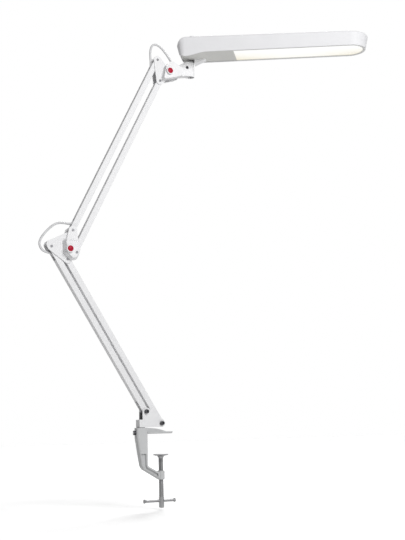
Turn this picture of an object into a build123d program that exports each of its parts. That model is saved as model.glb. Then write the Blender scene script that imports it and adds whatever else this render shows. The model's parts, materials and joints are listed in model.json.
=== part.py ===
"""Clamp-on architect lamp: C-clamp, two parallelogram arms, friction elbow and a long LED head.

Millimetres, +Z up. The origin is on the clamp screw's axis at the underside of the upper jaw, so it
sits on the edge of the table. The arms lie in the XZ plane, with +X towards the head at rest.
"""
import os
from math import atan2, cos, degrees, hypot, pi, radians, sin, tan

from build123d import *

os.makedirs("parts", exist_ok=True)

# Fits
RUN = 0.05            # radial play of a pin or screw in its hole
GAP = 0.3             # side play between faces that move past each other
SEAT = 0.1            # play of a fixed piece in its pocket

# Clamp
JAW_REACH = 24.0      # screw axis to the tip of the upper jaw
JAW_W = 28.0
JAW_T = 4.0
JAW_TIP_R = 9.0
JAW_EDGE = 2.0        # slope under the jaw's edge
RIB_W = 14.0          # humped rib on top of the jaw
RIB_H = 7.6
RIB_END = 10.0        # where the rib runs out, past the screw axis
THROAT = 31.5         # screw axis to the inside of the spine
THROAT_H = 62.5       # jaw underside to the top of the lower arm at the spine
SPINE_W = 18.0
SPINE_T = 22.0        # at the jaw
SPINE_R = 5.0         # round of the spine's outer edges
SPINE_STRAIGHT = 20.0  # upright part of its outer edge
SPINE_T_LOW = 12.5    # at the bend
BEND_R = 16.0
SCREW_BOSS_D = 15.0
SCREW_BOSS_H = 17.0
SCREW_BOSS_DROP = 73.0  # jaw underside to the top of the screw boss
FLANGE_T = 3.2        # edge flange round the pocket in the lower arm
POCKET_DEPTH = 4.0
POCKET_START = 39.0   # jaw underside to the top of the pocket
SPIGOT_SEAT_TOP = 12.2  # top of the spine, where the base turns
SPIGOT_WASHER_D = 17.0
SPIGOT_D = 12.0
SPIGOT_DEPTH = 24.0   # length of spigot inside the clamp
SPIGOT_BORE = 4.0     # for the wires
SPIGOT_END_D = 7.0    # thinner end pressed into the base bracket
SPIGOT_END_H = 10.0
LOCK_Z = 2.5
LOCK_D = 5.0
LOCK_HEAD_D = 9.0
LOCK_HEAD_T = 4.0
LOCK_SLOT = 1.4
LOCK_SLOT_DEPTH = 1.5

# Clamp screw
SCREW_D = 10.0
SCREW_PITCH = 2.0
SCREW_TOP = 43.5      # below the jaw
SCREW_LEN = 101.5
THREAD_DEPTH = 0.7
PAD_D = 30.0
PAD_RIM_T = 2.0
PAD_HUB_D = 13.0
PAD_HUB_H = 6.0
PAD_HUB_STEP = 2.0    # straight part of the hub
PAD_ROOF = 2.8        # plate over the screw's tip
TOMMY_D = 5.0
TOMMY_LEN = 68.0
TOMMY_CAP_D = 8.0
TOMMY_CAP_L = 5.0
TOMMY_SHIFT = -4.1    # how far the bar hangs to the left
TOMMY_UP = 13.5       # above the screw's lower end

# Arms: square tubes with forked ends
BAR_W = 12.0
BAR_D = 14.4
BAR_WALL = 1.2
BAR_R = 1.0
EAR_LEN = 27.0        # pivot to where the end walls of the tube start
LOWER_LEN = 377.0
LOWER_ANGLE = 121.1   # from +X
LOWER_LINK = 40.5     # distance between the two lower pivots
LOWER_LINK_ANGLE = -35.8
UPPER_LEN = 425.0
UPPER_ANGLE = 63.4
UPPER_LINK = 45.8
UPPER_LINK_ANGLE = -83.9
PIN_D = 4.4
RIVET_HEAD_D = 5.4
RIVET_HEAD_T = 0.6
BUSH_D = 9.0

# Base bracket
BASE_PIVOT = (-33.3, 44.2)
WASHER_T = 1.0
LUG_R = 8.0
FOOT_LEFT = 6.3       # foot beyond the cable sleeve's axis, to the left
FOOT_LEN = 32.0       # length of the solid foot between the cheeks
SLEEVE_STEP_H = 15.0  # height of the step that carries the cable sleeve
SLEEVE_D = 6.0
SLEEVE_H = 14.0
SLEEVE_TAPER = 0.6
BOLT_HEAD_D = 7.6
BOLT_HEAD_T = 5.0
BOLT_SOCKET_AF = 4.0
BOLT_SOCKET_DEPTH = 2.6
BOLT_END = 1.5        # thread past the nut
NUT_AF = 8.0
NUT_T = 4.0
BOLT_WASHER_D = 10.0
BOLT_WASHER_T = 0.8

# Friction joints at the elbow and the head
SHEET = 2.0           # pressed brackets
BRACKET_R = 8.5
FRICTION_T = 0.8
FRICTION_D = 15.0
HUB_D = 10.0
CHEEK_T = 3.0
CHEEK_R = 8.5
BLOCK_FRONT = 22.0    # front face of the raised block, from the arms' plane
BLOCK_REAR = 16.0
BLOCK_DRAFT = 20.0
BOSS_R = 4.2
JOINT_BOLT_D = 6.0
JOINT_BOLT_HEAD_D = 12.0
JOINT_BOLT_HEAD_T = 3.5
KNOB_D = 15.6
KNOB_H = 4.4
KNOB_FLUTES = 10
FLUTE_R = 1.3
CAP_D = 11.8
CAP_SEAT = 1.4
CAP_CROWN = 1.3
ELBOW_HUB = (33.1, -5.4)      # elbow axis from the lower arm's rear pivot
ELBOW_TO_UPPER = (9.6, 39.3)  # upper arm's rear pivot from the elbow axis
ELBOW_WING = (0.9, 26.6)      # upper corner of the elbow bracket, from the elbow axis
ELBOW_SHOULDER = (-1.9, 4.0)  # its left corner, from the lower arm's rear pivot
HEAD_HUB = (21.4, -26.2)      # head axis from the upper arm's rear end pivot
# Faces of the two raised blocks, as corners from their axis
ELBOW_FACE = [(-7.2, 17.8), (-6.2, 9.0), (-5.0, -6.2), (6.2, -17.2), (13.8, -15.8), (17.9, -9.0), (21.1, 1.1),
              (19.7, 14.8)]
KNUCKLE_FACE = [(-6.2, 12.0), (-12.8, -15.8), (-9.0, -17.0), (4.6, -13.4), (24.0, -7.5), (33.0, -3.0),
                (33.0, 9.0), (22.0, 16.0), (12.5, 21.5), (4.5, 22.5), (-1.0, 18.0)]
FACE_R = 3.0

# Knuckle and swivel
KNUCKLE_LOW = 6.5     # web below and above the head axis, where it leaves the fork
KNUCKLE_HIGH = 11.4
KNUCKLE_NECK = 12.0   # swivel axis to where the web is as high as the barrel
KNUCKLE_DRAFT = 2.0
KNUCKLE_REACH = 59.7  # head axis to swivel axis
KNUCKLE_ROOT = 16.0   # length of the thick root of the fork
FORK_CLEAR = 2.2      # web of the knuckle from the bracket's round end
BARREL_D = 16.0
BARREL_LOW = 0.8      # barrel's lower end above the head axis
BARREL_H = 31.6
SWIVEL_D = 6.4
SWIVEL_BORE = 3.6     # for the wires
SWIVEL_FLANGE_D = 17.0
SWIVEL_FLANGE_T = 3.0
SWIVEL_NUT_AF = 10.0
SWIVEL_NUT_T = 4.0
SWIVEL_WASHER_T = 0.9
SWIVEL_WASHER_D = 11.8
NUT_RECESS_D = 12.8   # in the lower end of the barrel
NUT_RECESS_H = 6.0
SLIT = 1.2
PINCH_D = 4.0
PINCH_HEAD_D = 7.0
PINCH_HEAD_T = 4.0
PINCH_BACK = 11.7     # pinch screw from the swivel axis
PINCH_UP = 18.5       # above the barrel's lower end
GLAND_D = 7.5
GLAND_SINK = 5.0
GLAND_TILT = -25.4
GLAND_STEP = (20.1, 18.0)  # from the head axis

# Head, in its own frame: swivel axis at 0, X along the head, Z from its lower rim
HEAD_YAW = -29.5
HEAD_W = 67.0         # across the lower rim
HEAD_FAR = 12.0       # swivel axis to the far edge
HEAD_BACK = 18.4      # swivel axis to the middle of the pivot end
END_SKEW = 5.8        # slant of the pivot end and of the joint between panel and diffuser
HEAD_TIP = 340.3      # swivel axis to the centre of the round tip
HEAD_H = 32.6         # at the swivel
HEAD_H_TIP = 29.0
HEAD_DRAFT = 13.0
HEAD_CORNER_R = 12.0
HEAD_TOP_R = 3.5
# Side view of the pivot end: round of the top, and the lower edge of the near wall, as (x, z)
END_TOP = [(-26.0, 12.0), (-24.0, 18.2), (-19.6, 25.8), (-9.0, 31.4), (6.0, 33.6)]
SKIRT_EDGE = [(-21.5, 0.6), (-17.4, -3.2), (-10.0, -6.5), (0.0, -6.7), (11.0, -4.6), (24.0, -1.7),
              (44.0, 0.0)]
SKIRT_DROP = 8.0
SHELL = 2.0
LEDGE_Z = 4.0         # panel and diffuser seat on a lip this far above the rim
LEDGE_W = 2.4
LEDGE_T = 1.5
PANEL_END = 97.4      # panel meets diffuser
PANEL_T = 2.5
PANEL_SCREW_D = 3.0
PANEL_SCREW_HEAD_D = 6.0
PANEL_SCREW_HEAD_T = 1.2
PANEL_SCREW_LEN = 10.0
PANEL_SCREW_INSET = (8.0, 11.0)  # two screws, from the panel's end and from the long edges
PANEL_SCREW_END = (14.0, -12.0)  # one screw, from the pivot end and from the middle
DIFFUSER_T = 3.0
POST_D = 7.0
LED_BOARD = (228.0, 44.0, 1.6)
LED_BOARD_Z = 13.0
LED_START = 13.9      # board from where the diffuser starts
LED_INSET = (8.0, 5.0)
LED_END_GAP = 10.0    # first chip from the board's end
LED_ROWS = 2
LED_COLUMNS = 16
LED_SIZE = (5.0, 5.0, 1.0)
DRIVER_BOARD = (66.0, 34.0, 1.6)
DRIVER_Z = 14.0
DRIVER_INSET = (5.0, 5.0)
DRIVER_STEP = (2.0, -4.0)  # driver board from the middle of the panel
TRANSFORMER = (18.0, 16.0, 8.0)
CAPACITOR_D = 8.0
CAPACITOR_GAP = 3.0
MOUNT_LEN = 34.0      # gusset under the head, from the swivel axis
MOUNT_W = 18.0
MOUNT_DROP = 9.0
SWITCH_STEP = (26.4, 9.0)  # switch from the pivot end and from the near edge
SWITCH_D = 12.0
SWITCH_RISE = 5.0
SWITCH_TRAVEL = 1.6
SWITCH_BODY = (18.0, 18.0, 9.0)
SWITCH_POST_D = 4.0

# Cords
CORD_D = 4.5
GLAND_DEPTH = 40.0    # pivot to the gland's face, inside a bar
GLAND_LEN = 8.0


def along(point, length, angle):
    """Point in the XZ plane at a length and an angle from another."""
    return (point[0] + length * cos(radians(angle)), point[1] + length * sin(radians(angle)))


def plus(point, step):
    return (point[0] + step[0], point[1] + step[1])


# Pivots in the arms' plane, as (x, z)
P1 = BASE_PIVOT
P2 = along(P1, LOWER_LINK, LOWER_LINK_ANGLE)
Q1 = along(P1, LOWER_LEN, LOWER_ANGLE)
Q2 = along(Q1, LOWER_LINK, LOWER_LINK_ANGLE)
ELBOW = plus(Q1, ELBOW_HUB)
U1 = plus(ELBOW, ELBOW_TO_UPPER)
U2 = along(U1, UPPER_LINK, UPPER_LINK_ANGLE)
V1 = along(U1, UPPER_LEN, UPPER_ANGLE)
V2 = along(V1, UPPER_LINK, UPPER_LINK_ANGLE)
TILT = plus(V1, HEAD_HUB)
SWIVEL_X = TILT[0] + KNUCKLE_REACH
BARREL_Z = TILT[1] + BARREL_LOW
BARREL_TOP = BARREL_Z + BARREL_H
NUT_SHOULDER = BARREL_Z + NUT_RECESS_H
HEAD_Z = BARREL_TOP + GAP + SWIVEL_FLANGE_T + (LEDGE_Z - PANEL_T)

# Widths across the arms, as half-widths from their plane
EAR_IN = BAR_D / 2 - BAR_WALL
TONGUE = EAR_IN - SEAT
BRACKET_IN = BAR_D / 2 + GAP
BRACKET_OUT = BRACKET_IN + SHEET
WASHER_OUT = BRACKET_OUT + BOLT_WASHER_T
CHEEK_IN = BRACKET_OUT + FRICTION_T + SEAT
CHEEK_OUT = CHEEK_IN + CHEEK_T
SPIGOT_X = -THROAT - SPINE_T / 2 + 0.5
FOOT_Z = SPIGOT_SEAT_TOP + WASHER_T
GLAND_AT = (TILT[0] + GLAND_STEP[0], 0, TILT[1] + GLAND_STEP[1])
PINCH = (SWIVEL_X - PINCH_BACK, BARREL_Z + PINCH_UP)
HEAD_MID_Y = HEAD_FAR - HEAD_W / 2


def slab(sketch, y0, y1, taper=0.0):
    """Sketch drawn in (x, z), made solid from y1 towards the front, to y0."""
    return extrude(Plane.XZ.offset(-y1) * sketch, amount=y1 - y0, dir=(0, -1, 0), taper=taper)


def slab_back(sketch, y0, y1, taper=0.0):
    """As slab, but from y0 towards the back, so that a taper narrows it at y1."""
    return mirror(slab(sketch, -y1, -y0, taper), about=Plane.XZ)


def rod(point, d, y0, y1):
    return slab(Pos(*point) * Circle(d / 2), y0, y1)


def hexagon(point, across_flats, y0, y1):
    return slab(Pos(*point) * RegularPolygon(across_flats / 2, 6, major_radius=False), y0, y1)


def ring(point, outer_d, inner_d, y0, y1):
    return rod(point, outer_d, y0, y1) - rod(point, inner_d, y0, y1)


def upright(x, y, d, z0, z1):
    """Round post standing along Z."""
    return Pos(x, y, (z0 + z1) / 2) * Cylinder(d / 2, z1 - z0)


def collar(x, outer_d, inner_d, z0, z1):
    """Washer or nut-like ring standing on the arms' plane, along Z."""
    return upright(x, 0, outer_d, z0, z1) - upright(x, 0, inner_d, z0, z1)


def plate(points, r):
    """Polygon with round corners of radius r outside its points."""
    return offset(Polygon(*points, align=None), amount=r)


def slot(a, b, r):
    """Round-ended slot of radius r from a to b."""
    length = hypot(b[0] - a[0], b[1] - a[1])
    angle = degrees(atan2(b[1] - a[1], b[0] - a[0]))
    return Pos((a[0] + b[0]) / 2, (a[1] + b[1]) / 2) * Rot(0, 0, angle) * SlotCenterToCenter(length, 2 * r)


def turned(profile, x=0.0, y=0.0):
    """Solid of revolution about a Z axis from (radius, z) points."""
    return Pos(x, y, 0) * revolve(Plane.XZ * make_face(Polyline(*profile, close=True)), Axis.Z)


def edge_web(a, b, away, r, t, half):
    """Folded edge of a pressed bracket along a-b, on the side turned away from a third corner."""
    ux, uz = (b[0] - a[0]), (b[1] - a[1])
    n = hypot(ux, uz)
    nx, nz = -uz / n, ux / n
    if nx * (away[0] - a[0]) + nz * (away[1] - a[1]) > 0:
        nx, nz = -nx, -nz
    inner = [(p[0] + nx * (r - t), p[1] + nz * (r - t)) for p in (a, b)]
    outer = [(p[0] + nx * r, p[1] + nz * r) for p in (b, a)]
    return slab(Polygon(*inner, *outer, align=None), -half, half)


PARTS = {}


def node(name, *solids):
    PARTS[name] = Compound(children=list(solids)) if len(solids) > 1 else solids[0]


# Clamp
def clamp_profile():
    """Side view of the spine and the lower arm."""
    inner, outer = -THROAT, -THROAT - SPINE_T
    boss_edge = -SCREW_BOSS_D / 2 + 1.5
    boss_low = -SCREW_BOSS_DROP - SCREW_BOSS_H
    outer_bend = (inner - SPINE_T_LOW, -THROAT_H - SPINE_T_LOW * 0.4)
    inner_bend = (inner, -THROAT_H)
    outline = Polygon(
        (outer, SPIGOT_SEAT_TOP), (inner, SPIGOT_SEAT_TOP), inner_bend, (boss_edge, -SCREW_BOSS_DROP - 3.5),
        (boss_edge, boss_low), outer_bend, (outer, SPIGOT_SEAT_TOP - SPINE_STRAIGHT), align=None)
    outline = fillet(outline.vertices().sort_by_distance(outer_bend)[0], BEND_R)
    return fillet(outline.vertices().sort_by_distance(inner_bend)[0], BEND_R / 3)


def spine():
    """Spine and lower arm, with their outer edges rounded."""
    solid = slab(clamp_profile(), -SPINE_W / 2, SPINE_W / 2)
    faces = solid.faces().sort_by(Axis.Y)
    outer = [edge for face in (faces[0], faces[-1]) for edge in face.edges()
             if edge.center().X < -THROAT - SPINE_T_LOW / 2 and edge.center().Z < SPIGOT_SEAT_TOP - 1]
    return fillet(outer, SPINE_R)


def jaw():
    """Upper jaw: a thin plate with a humped rib on top, and a slope under its edge."""
    back = -THROAT - JAW_EDGE
    sketch = Pos((JAW_REACH + back) / 2, 0) * Rectangle(JAW_REACH - back, JAW_W)
    solid = extrude(fillet(sketch.vertices(), JAW_TIP_R), JAW_T)
    solid = chamfer(solid.faces().sort_by(Axis.Z)[0].edges(), JAW_EDGE)
    rib_start, rib_end = (-THROAT - JAW_EDGE, JAW_T), (RIB_END, JAW_T)
    rib_top = (rib_start[0], JAW_T + RIB_H)
    rib_mid = ((RIB_END + rib_top[0]) / 2, JAW_T + RIB_H * 0.8)
    hump = ThreePointArc(rib_top, rib_mid, rib_end)
    rib = make_face(Line(rib_start, rib_top) + hump + Line(rib_end, rib_start))
    return solid + slab(rib, -RIB_W / 2, RIB_W / 2)


def clamp_body():
    boss_low = -SCREW_BOSS_DROP - SCREW_BOSS_H
    outer = -THROAT - SPINE_T
    body = spine() + jaw() + upright(0, 0, SCREW_BOSS_D, boss_low, -SCREW_BOSS_DROP)
    window_right = -SCREW_BOSS_D / 2 - 2
    window = Pos((outer + window_right) / 2, (boss_low - POCKET_START) / 2) * Rectangle(
        window_right - outer, -POCKET_START - boss_low)
    pocket = offset(clamp_profile(), amount=-FLANGE_T) & window
    for y0 in (-SPINE_W / 2, SPINE_W / 2 - POCKET_DEPTH):
        body -= slab(pocket, y0, y0 + POCKET_DEPTH)
    body -= upright(SPIGOT_X, 0, SPIGOT_D + 2 * RUN, SPIGOT_SEAT_TOP - SPIGOT_DEPTH - 1, SPIGOT_SEAT_TOP)
    body -= upright(0, 0, SCREW_D + 2 * RUN, boss_low, -SCREW_BOSS_DROP)
    lock_hole = Plane.YZ.offset(outer) * (Pos(0, LOCK_Z) * Circle(LOCK_D / 2 + RUN))
    return body - extrude(lock_hole, SPIGOT_X - outer)


def lock_screw():
    """Screw that pinches the spigot, with a slotted round head outside the spine."""
    head_x = -THROAT - SPINE_T
    tip_x = SPIGOT_X - SPIGOT_D / 2
    face_x = head_x - LOCK_HEAD_T
    head = extrude(Plane.YZ.offset(face_x) * (Pos(0, LOCK_Z) * Circle(LOCK_HEAD_D / 2)), LOCK_HEAD_T)
    head -= Pos(face_x, 0, LOCK_Z) * Box(2 * LOCK_SLOT_DEPTH, 2 * LOCK_HEAD_D, LOCK_SLOT)
    return head + extrude(Plane.YZ.offset(head_x) * (Pos(0, LOCK_Z) * Circle(LOCK_D / 2)), tip_x - head_x)


SCREW_END = -SCREW_TOP - SCREW_LEN
TOMMY_Z = SCREW_END + TOMMY_UP


def clamp_screw():
    """Screw with its thread cut as rings, and a cross hole for the tommy bar."""
    r = SCREW_D / 2
    thread_low = TOMMY_Z + TOMMY_D + 2
    thread_top = -SCREW_TOP - PAD_HUB_H + PAD_ROOF - 1
    turns = int((thread_top - thread_low) / SCREW_PITCH)
    profile = [(0, SCREW_END), (r - 1, SCREW_END), (r, SCREW_END + 1)]
    for i in range(turns):
        z = thread_low + i * SCREW_PITCH
        profile += [(r, z), (r - THREAD_DEPTH, z + SCREW_PITCH / 2)]
    profile += [(r, thread_low + turns * SCREW_PITCH), (r, -SCREW_TOP - 1)]
    profile += [(r - 1, -SCREW_TOP), (0, -SCREW_TOP)]
    hole = extrude(Plane.YZ.offset(-SCREW_D) * (Pos(0, TOMMY_Z) * Circle(TOMMY_D / 2 + RUN)), 2 * SCREW_D)
    return turned(profile) - hole


def pressure_pad():
    top = -SCREW_TOP + PAD_ROOF + GAP
    hub_r = PAD_HUB_D / 2
    bore_r = SCREW_D / 2 + RUN
    hub_low = top - PAD_HUB_H
    outside = [(0, top), (PAD_D / 2, top), (PAD_D / 2, top - PAD_RIM_T), (hub_r, hub_low + PAD_HUB_STEP),
               (hub_r, hub_low)]
    return turned(outside + [(bore_r, hub_low), (bore_r, top - PAD_ROOF), (0, top - PAD_ROOF)])


def tommy_bar():
    half, cap = TOMMY_LEN / 2, TOMMY_CAP_L
    r, cap_r = TOMMY_D / 2, TOMMY_CAP_D / 2
    bar = turned([(0, -half), (cap_r - 1, -half), (cap_r, -half + 1), (r, -half + cap), (r, half - cap),
                  (cap_r, half - 1), (cap_r - 1, half), (0, half)])
    return Pos(TOMMY_SHIFT, 0, TOMMY_Z) * Rot(0, 90, 0) * bar


node("clamp_body", clamp_body())
node("spigot_lock_screw", lock_screw())
node("clamp_screw", clamp_screw())
node("pressure_pad", pressure_pad())
node("tommy_bar", tommy_bar())


# Base
def base_bracket():
    """Two cheeks outside the lower bars, joined by a solid foot on the spigot."""
    left, step = SPIGOT_X - FOOT_LEFT, FOOT_Z + SLEEVE_STEP_H
    lug_left = P1[0] - LUG_R
    normal = LOWER_LINK_ANGLE + 90
    sketch = Polygon(
        (left, FOOT_Z), (P2[0], FOOT_Z), P2, along(P2, P2[1] - FOOT_Z, normal),
        along(P1, LUG_R, normal), P1,
        (lug_left, P1[1]), (lug_left, step), (left, step), align=None)
    sketch += Pos(*P1) * Circle(LUG_R)
    sketch += Pos(*P2) * Circle(P2[1] - FOOT_Z)
    for pivot in (P1, P2):
        sketch -= Pos(*pivot) * Circle(PIN_D / 2 + RUN)
    body = slab(sketch, -BRACKET_OUT, -BRACKET_IN) + slab(sketch, BRACKET_IN, BRACKET_OUT)
    foot = Pos(left + FOOT_LEN / 2, (FOOT_Z + step) / 2) * Rectangle(FOOT_LEN, step - FOOT_Z)
    body += slab(foot, -BRACKET_OUT, BRACKET_OUT)
    body -= upright(SPIGOT_X, 0, SPIGOT_END_D + 2 * RUN, FOOT_Z, FOOT_Z + SPIGOT_END_H)
    return body - upright(SPIGOT_X, 0, SPIGOT_BORE, FOOT_Z, step)


def spigot():
    """Post that turns in the clamp, with a thinner end pressed into the bracket's foot."""
    low = SPIGOT_SEAT_TOP - SPIGOT_DEPTH
    top = FOOT_Z + SPIGOT_END_H
    post = upright(SPIGOT_X, 0, SPIGOT_D, low, FOOT_Z) + upright(SPIGOT_X, 0, SPIGOT_END_D, FOOT_Z, top)
    return post - upright(SPIGOT_X, 0, SPIGOT_BORE, low, top)


def cable_sleeve():
    low = FOOT_Z + SLEEVE_STEP_H
    top = low + SLEEVE_H
    bore_r, outer_r = SPIGOT_BORE / 2, SLEEVE_D / 2
    return turned([(bore_r, low), (outer_r, low), (outer_r - SLEEVE_TAPER, top), (bore_r, top)], SPIGOT_X)


def spigot_washer():
    return collar(SPIGOT_X, SPIGOT_WASHER_D, SPIGOT_D + 2 * RUN, SPIGOT_SEAT_TOP, FOOT_Z)


def base_bolt(pivot):
    """Socket-head bolt through both cheeks of the base and the bar between them."""
    face = -WASHER_OUT - BOLT_HEAD_T
    head = rod(pivot, BOLT_HEAD_D, face, -WASHER_OUT)
    head -= hexagon(pivot, BOLT_SOCKET_AF, face, face + BOLT_SOCKET_DEPTH)
    return head + rod(pivot, PIN_D, -WASHER_OUT, WASHER_OUT + NUT_T + BOLT_END)


def base_nut(pivot):
    return hexagon(pivot, NUT_AF, WASHER_OUT, WASHER_OUT + NUT_T) - rod(
        pivot, PIN_D + 2 * RUN, WASHER_OUT, WASHER_OUT + NUT_T)


def base_washers(pivot):
    return [ring(pivot, BOLT_WASHER_D, PIN_D + 2 * RUN, y, y + BOLT_WASHER_T)
            for y in (-WASHER_OUT, BRACKET_OUT)]


def bush(point):
    """Bush between the two ears of a bar's forked end."""
    return ring(point, BUSH_D, PIN_D + 2 * RUN, -TONGUE, TONGUE)


node("base_bracket", base_bracket())
node("spigot", spigot())
node("base_washer", spigot_washer())
node("cable_sleeve", cable_sleeve())
node("base_pivot_bolts", base_bolt(P1), base_bolt(P2))
node("base_pivot_nuts", base_nut(P1), base_nut(P2))
node("base_pivot_washers", *base_washers(P1), *base_washers(P2))
node("base_pivot_bushes", bush(P1), bush(P2))


# Arms
def bar(start, length, angle):
    """Square tube with both ends cut away to a fork of two round ears."""
    tube = RectangleRounded(BAR_W, BAR_D, BAR_R) - RectangleRounded(
        BAR_W - 2 * BAR_WALL, BAR_D - 2 * BAR_WALL, BAR_R - BAR_WALL / 2)
    body = extrude(tube, length)
    fork = BAR_D - 2 * BAR_WALL
    for z in (EAR_LEN / 2, length - EAR_LEN / 2):
        body -= Pos(0, 0, z) * Box(BAR_W + 2, fork, EAR_LEN)
    for z in (0, length):
        for y0 in (-BAR_D / 2, BAR_D / 2 - BAR_WALL):
            body += rod((0, z), BAR_W, y0, y0 + BAR_WALL)
        body -= rod((0, z), PIN_D + 2 * RUN, -BAR_D, BAR_D)
    return Pos(start[0], 0, start[1]) * Rot(0, 90 - angle, 0) * body


def bar_gland(pivot, angle):
    """Rubber plug inside a bar, with a hole for the cord, as seen from a pivot along the bar."""
    inside = BAR_W - 2 * BAR_WALL - 2 * SEAT
    plug = extrude(RectangleRounded(inside, BAR_D - 2 * BAR_WALL - 2 * SEAT, BAR_R), GLAND_LEN)
    return Pos(pivot[0], 0, pivot[1]) * Rot(0, 90 - angle, 0) * Pos(0, 0, GLAND_DEPTH) * plug


node("lower_rear_bar", bar(P1, LOWER_LEN, LOWER_ANGLE))
node("lower_front_bar", bar(P2, LOWER_LEN, LOWER_ANGLE))
node("upper_rear_bar", bar(U1, UPPER_LEN, UPPER_ANGLE))
node("upper_front_bar", bar(U2, UPPER_LEN, UPPER_ANGLE))
node("lower_cord_gland", bar_gland(Q1, LOWER_ANGLE + 180))
node("upper_cord_glands", bar_gland(U1, UPPER_ANGLE), bar_gland(V1, UPPER_ANGLE + 180))


# Pressed brackets that hold two bars between their cheeks
def pressed_bracket(corners, pins, hub, fold):
    """Two cheeks with a folded edge along the first two points of the fold, away from its third."""
    sketch = plate(corners, BRACKET_R)
    for point in pins:
        sketch -= Pos(*point) * Circle(PIN_D / 2 + RUN)
    sketch -= Pos(*hub) * Circle(JOINT_BOLT_D / 2 + RUN)
    cheeks = slab(sketch, -BRACKET_OUT, -BRACKET_IN) + slab(sketch, BRACKET_IN, BRACKET_OUT)
    return cheeks + edge_web(*fold, BRACKET_R, SHEET * 0.9, BRACKET_OUT)


def rivet(point, front, rear):
    """Pin with a shallow round head at each end."""
    pin = rod(point, PIN_D, -front, rear)
    pin += rod(point, RIVET_HEAD_D, -front - RIVET_HEAD_T, -front)
    return pin + rod(point, RIVET_HEAD_D, rear, rear + RIVET_HEAD_T)


def hub_spacer(point):
    return ring(point, HUB_D, JOINT_BOLT_D + 2 * RUN, -BRACKET_IN, BRACKET_IN)


def friction_washers(point):
    return [ring(point, FRICTION_D, JOINT_BOLT_D + 2 * RUN, y, y + FRICTION_T)
            for y in (-BRACKET_OUT - FRICTION_T, BRACKET_OUT)]


SHOULDER = plus(Q1, ELBOW_SHOULDER)
WING = plus(ELBOW, ELBOW_WING)
node("elbow_bracket", pressed_bracket((SHOULDER, WING, Q2, Q1), (Q1, Q2), ELBOW, (SHOULDER, WING, Q2)))
node("head_bracket", pressed_bracket((V1, V2, TILT), (V1, V2), TILT, (V1, TILT, V2)))
for joint, pivots, hub in (("elbow", (Q1, Q2), ELBOW), ("head", (V1, V2), TILT)):
    node(f"{joint}_bracket_pins", *[rivet(p, BRACKET_OUT, BRACKET_OUT) for p in pivots])
    node(f"{joint}_bracket_bushes", *[bush(p) for p in pivots])
    node(f"{joint}_spacer", hub_spacer(hub))
    node(f"{joint}_friction_washers", *friction_washers(hub))


# Elbow block that carries the upper arm
def raised(corners, axis, depth, draft, front):
    """Raised block from the cheek out to its face, whose corners are measured from an axis."""
    face = fillet(Polygon(*[plus(axis, c) for c in corners], align=None).vertices(), FACE_R)
    base = offset(face, amount=(depth - CHEEK_IN) * tan(radians(draft)))
    return slab(base, -depth, -CHEEK_IN, draft) if front else slab_back(base, CHEEK_IN, depth, draft)


def drilled(solid, holes):
    for point, d in holes:
        solid -= rod(point, d + 2 * RUN, -2 * BLOCK_FRONT, 2 * BLOCK_FRONT)
    return solid


ELBOW_HOLES = ((U1, PIN_D), (U2, PIN_D), (ELBOW, JOINT_BOLT_D))


def elbow_block_front():
    solid = slab(plate((ELBOW, U1, U2), CHEEK_R), -CHEEK_OUT, -CHEEK_IN)
    solid += raised(ELBOW_FACE, ELBOW, BLOCK_FRONT, BLOCK_DRAFT, True)
    for point in (U1, U2):
        solid += rod(point, 2 * BOSS_R, -CHEEK_IN, -BRACKET_IN)
    return drilled(solid, ELBOW_HOLES)


def elbow_block_rear():
    solid = slab(plate((ELBOW, U1, U2), CHEEK_R), CHEEK_IN, CHEEK_OUT)
    solid += raised(ELBOW_FACE, ELBOW, BLOCK_REAR, BLOCK_DRAFT, False)
    for point in (U1, U2):
        solid += rod(point, 2 * BOSS_R, BRACKET_IN, CHEEK_IN)
    solid -= rod(ELBOW, JOINT_BOLT_HEAD_D + 2 * SEAT, BLOCK_REAR - JOINT_BOLT_HEAD_T, BLOCK_REAR + 1)
    return drilled(solid, ELBOW_HOLES)


def joint_bolt(point):
    """Bolt whose head lies in the rear cheek and whose thread takes the knob."""
    head_y = BLOCK_REAR - JOINT_BOLT_HEAD_T
    shank = rod(point, JOINT_BOLT_D, -BLOCK_FRONT - KNOB_H + CAP_SEAT + 1, head_y)
    return shank + rod(point, JOINT_BOLT_HEAD_D, head_y, BLOCK_REAR)


def knob(point):
    """Fluted round knob with a seat for its cap."""
    back = -BLOCK_FRONT - GAP
    front = back - KNOB_H
    sketch = Pos(*point) * Circle(KNOB_D / 2)
    for i in range(KNOB_FLUTES):
        sketch -= Pos(*along(point, KNOB_D / 2 + FLUTE_R * 0.55, 360 / KNOB_FLUTES * i)) * Circle(FLUTE_R)
    solid = slab(sketch, front, back)
    solid -= rod(point, CAP_D + 2 * SEAT, front, front + CAP_SEAT)
    return solid - rod(point, JOINT_BOLT_D + 2 * RUN, front, back)


def knob_cap(point):
    """Round cap with a low crown, pressed into the knob."""
    seat = -BLOCK_FRONT - GAP - KNOB_H + CAP_SEAT
    top = seat - CAP_SEAT - CAP_CROWN
    ball_r = ((CAP_D / 2) ** 2 + CAP_CROWN ** 2) / (2 * CAP_CROWN)
    ball = Pos(point[0], top + ball_r, point[1]) * Sphere(ball_r)
    return rod(point, CAP_D, top - 1, seat) & ball


node("elbow_block_front", elbow_block_front())
node("elbow_block_rear", elbow_block_rear())
node("elbow_block_pins", rivet(U1, CHEEK_OUT, CHEEK_OUT), rivet(U2, BLOCK_FRONT, BLOCK_REAR))
node("elbow_block_bushes", bush(U1), bush(U2))
node("elbow_bolt", joint_bolt(ELBOW))
node("elbow_knob", knob(ELBOW))
node("elbow_knob_cap", knob_cap(ELBOW))


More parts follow.
